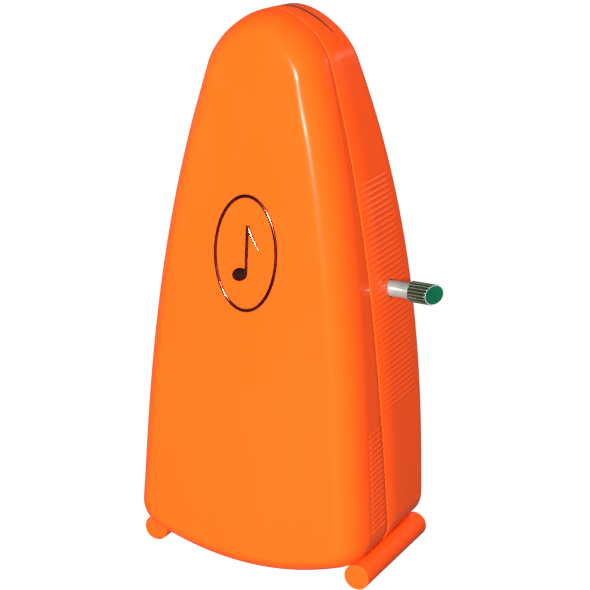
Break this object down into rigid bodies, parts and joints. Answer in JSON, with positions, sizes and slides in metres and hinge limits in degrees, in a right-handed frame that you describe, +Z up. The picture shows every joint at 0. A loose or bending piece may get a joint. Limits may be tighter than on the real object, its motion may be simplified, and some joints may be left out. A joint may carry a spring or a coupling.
{
  "type": "clockwork metronome",
  "caption": "Pocket pyramid clockwork metronome: glossy two-part plastic case with lift-off front cover, side winding key, two foot rods, geared movement and pendulum.",
  "frame": {"origin": "on the table plane, on the case's middle plane, between the two foot rods", "axes": "+Z up from the table to the crown, -Y out of the front cover, +X towards the winding key"},
  "size_m": [0.0827, 0.0494, 0.16],
  "materials": {
    "orange_shell": "glossy moulded plastic",
    "orange_feet": "moulded plastic, satin",
    "badge_foil": "hot-stamped metal foil",
    "panel_plastic": "fine matt moulding texture",
    "scale_paint": "satin enamel",
    "steel": "turned and brushed",
    "spring_steel": "blued strip",
    "brass": "stamped, light satin",
    "bob_iron": "cast, dull",
    "key_nickel": "bright nickel plate"
  },
  "bodies": {
    "case": {"rear_housing": "orange_shell", "foot_rod_left": "orange_feet", "foot_rod_right": "orange_feet", "foot_screws": "steel", "front_panel": "panel_plastic", "panel_screws": "steel", "scale_plate": "scale_paint", "rod_catch": "steel", "movement_plate_left": "brass", "movement_plate_right": "brass", "plate_pillars": "brass", "pillar_screws": "steel", "lug_screws": "steel", "rear_bridge": "brass", "bridge_screws": "steel", "front_bush": "brass", "click_stud": "steel", "click_spring": "spring_steel"},
    "cover": {"front_cover": "orange_shell", "cover_badge": "badge_foil"},
    "pendulum": {"pendulum_staff": "steel", "pendulum_hub": "brass", "pendulum_nut": "steel", "pendulum_rod": "steel", "lower_bob": "bob_iron", "pallets": "steel"},
    "tempo_weight": {"sliding_weight": "brass", "weight_spring": "spring_steel"},
    "winder": {"winding_arbor": "steel", "winding_key": "key_nickel", "ratchet_wheel": "brass"},
    "spring_barrel": {"barrel": "brass", "barrel_cap": "brass", "mainspring": "spring_steel"},
    "second_gear": {"second_arbor": "steel", "second_wheel": "brass"},
    "escape_gear": {"escape_arbor": "steel", "escape_wheel": "brass"},
    "pawl": {"click": "steel"}
  },
  "joints": [
    {"name": "cover_slide", "type": "slide", "parent": "case", "child": "cover", "axis": [0, -1, 0], "range_m": [0, 0.045]},
    {"name": "pendulum_swing", "type": "hinge", "parent": "case", "child": "pendulum", "pos_m": [0, 0, 0.05], "axis": [0, 1, 0], "range_deg": [-12, 12]},
    {"name": "weight_slide", "type": "slide", "parent": "pendulum", "child": "tempo_weight", "axis": [0, 0, 1], "range_m": [-0.02, 0.02]},
    {"name": "key_turn", "type": "hinge", "parent": "case", "child": "winder", "pos_m": [0.0371, 0.0089, 0.0821], "axis": [1, 0, 0], "continuous": true},
    {"name": "barrel_turn", "type": "hinge", "parent": "case", "child": "spring_barrel", "pos_m": [0, 0.0089, 0.0821], "axis": [1, 0, 0], "continuous": true},
    {"name": "second_turn", "type": "hinge", "parent": "case", "child": "second_gear", "pos_m": [0, 0.0089, 0.0695], "axis": [1, 0, 0], "continuous": true},
    {"name": "escape_turn", "type": "hinge", "parent": "case", "child": "escape_gear", "pos_m": [0, 0.0089, 0.0587], "axis": [1, 0, 0], "continuous": true},
    {"name": "click_lift", "type": "hinge", "parent": "case", "child": "pawl", "pos_m": [0.0112, 0.0026, 0.0896], "axis": [1, 0, 0], "range_deg": [0, 8], "stiffness_Nm_per_rad": 0.0002, "springref_deg": -9.74}
  ],
  "couplings": [
    {"joint": "second_turn", "follows": "barrel_turn", "ratio": -3.2},
    {"joint": "escape_turn", "follows": "barrel_turn", "ratio": 8.32}
  ]
}
